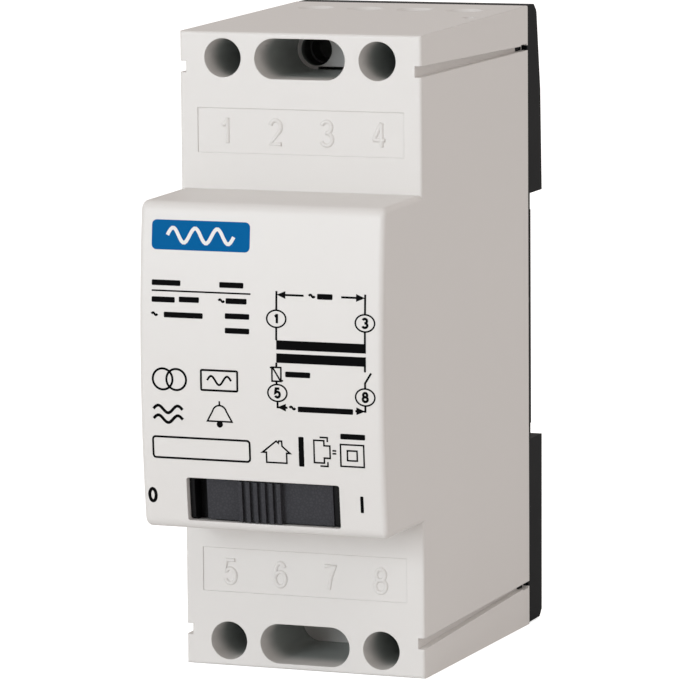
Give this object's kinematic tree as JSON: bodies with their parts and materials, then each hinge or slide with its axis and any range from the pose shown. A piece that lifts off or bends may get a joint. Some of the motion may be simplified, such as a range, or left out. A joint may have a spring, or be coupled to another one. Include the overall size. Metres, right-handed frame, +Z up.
{
  "type": "doorbell transformer",
  "caption": "Rail-mounted bell transformer: white moulded case with a crowned nose, screw terminals at both ends, a front slide switch and a black rear cover with a sliding latch.",
  "frame": {"origin": "centre of the rail seat at the back", "axes": "+Y out of the back towards the rail and wall, +X to the right seen from the front, +Z up"},
  "size_m": [0.0356, 0.068, 0.0908],
  "materials": {
    "case": "fine moulded texture",
    "cover": "fine moulded texture",
    "latch": "fine moulded texture",
    "switch_body": "smooth moulding",
    "button": "leather-like grain on the flat parts",
    "spring_steel": "rolled strip",
    "contact_metal": "stamped strip",
    "laminations": "edge-on laminations",
    "former": "moulded nylon",
    "copper_wire": "enamelled turns",
    "tape": "polyester tape",
    "thermistor": "dipped coating",
    "tinned_wire": "tinned",
    "red_insulation": "wire insulation",
    "dark_insulation": "wire insulation",
    "screw_steel": "zinc plated",
    "cage_steel": "zinc plated, passivated"
  },
  "bodies": {
    "case": {"housing": "case", "base_plate": "cover", "latch_spring": "spring_steel", "switch_frame": "switch_body", "coil_contact": "contact_metal", "line_contact": "contact_metal", "core_e": "laminations", "core_i": "laminations", "bobbin": "former", "primary_winding": "copper_wire", "secondary_winding": "copper_wire", "primary_tape": "tape", "secondary_tape": "tape", "ptc_disc": "thermistor", "ptc_leads": "tinned_wire", "cable_1": "red_insulation", "cable_3": "red_insulation", "cable_5": "dark_insulation", "cable_8": "dark_insulation", "cable_switch": "dark_insulation", "bar_1": "contact_metal", "bar_3": "contact_metal", "bar_5": "contact_metal", "bar_8": "contact_metal"},
    "button": {"switch_slider": "button", "bridge_contact": "contact_metal"},
    "latch": {"rail_latch": "latch"},
    "screw_1": {"screw_1": "screw_steel"},
    "cage_1": {"cage_1": "cage_steel"},
    "screw_3": {"screw_3": "screw_steel"},
    "cage_3": {"cage_3": "cage_steel"},
    "screw_5": {"screw_5": "screw_steel"},
    "cage_5": {"cage_5": "cage_steel"},
    "screw_8": {"screw_8": "screw_steel"},
    "cage_8": {"cage_8": "cage_steel"}
  },
  "joints": [
    {"name": "switch_slide", "type": "slide", "parent": "case", "child": "button", "axis": [1, 0, 0], "range_m": [-0.0018, 0]},
    {"name": "latch_slide", "type": "slide", "parent": "case", "child": "latch", "axis": [0, 0, -1], "range_m": [0, 0.003], "stiffness_N_per_m": 500, "springref_m": -0.004, "deforming": ["latch_spring"]},
    {"name": "screw_1_turn", "type": "hinge", "parent": "case", "child": "screw_1", "pos_m": [-0.01136, -0.02, 0.0409], "axis": [0, 1, 0], "range_deg": [0, 2880]},
    {"name": "cage_1_lift", "type": "slide", "parent": "case", "child": "cage_1", "axis": [0, -1, 0], "range_m": [0, 0.004]},
    {"name": "screw_3_turn", "type": "hinge", "parent": "case", "child": "screw_3", "pos_m": [0.00379, -0.02, 0.0409], "axis": [0, 1, 0], "range_deg": [0, 2880]},
    {"name": "cage_3_lift", "type": "slide", "parent": "case", "child": "cage_3", "axis": [0, -1, 0], "range_m": [0, 0.004]},
    {"name": "screw_5_turn", "type": "hinge", "parent": "case", "child": "screw_5", "pos_m": [-0.01136, -0.02, -0.0409], "axis": [0, 1, 0], "range_deg": [0, 2880]},
    {"name": "cage_5_lift", "type": "slide", "parent": "case", "child": "cage_5", "axis": [0, -1, 0], "range_m": [0, 0.004]},
    {"name": "screw_8_turn", "type": "hinge", "parent": "case", "child": "screw_8", "pos_m": [0.01136, -0.02, -0.0409], "axis": [0, 1, 0], "range_deg": [0, 2880]},
    {"name": "cage_8_lift", "type": "slide", "parent": "case", "child": "cage_8", "axis": [0, -1, 0], "range_m": [0, 0.004]}
  ],
  "couplings": [
    {"joint": "screw_1_turn", "follows": "cage_1_lift", "rad_per_m": 12566},
    {"joint": "screw_3_turn", "follows": "cage_3_lift", "rad_per_m": 12566},
    {"joint": "screw_5_turn", "follows": "cage_5_lift", "rad_per_m": 12566},
    {"joint": "screw_8_turn", "follows": "cage_8_lift", "rad_per_m": 12566}
  ]
}
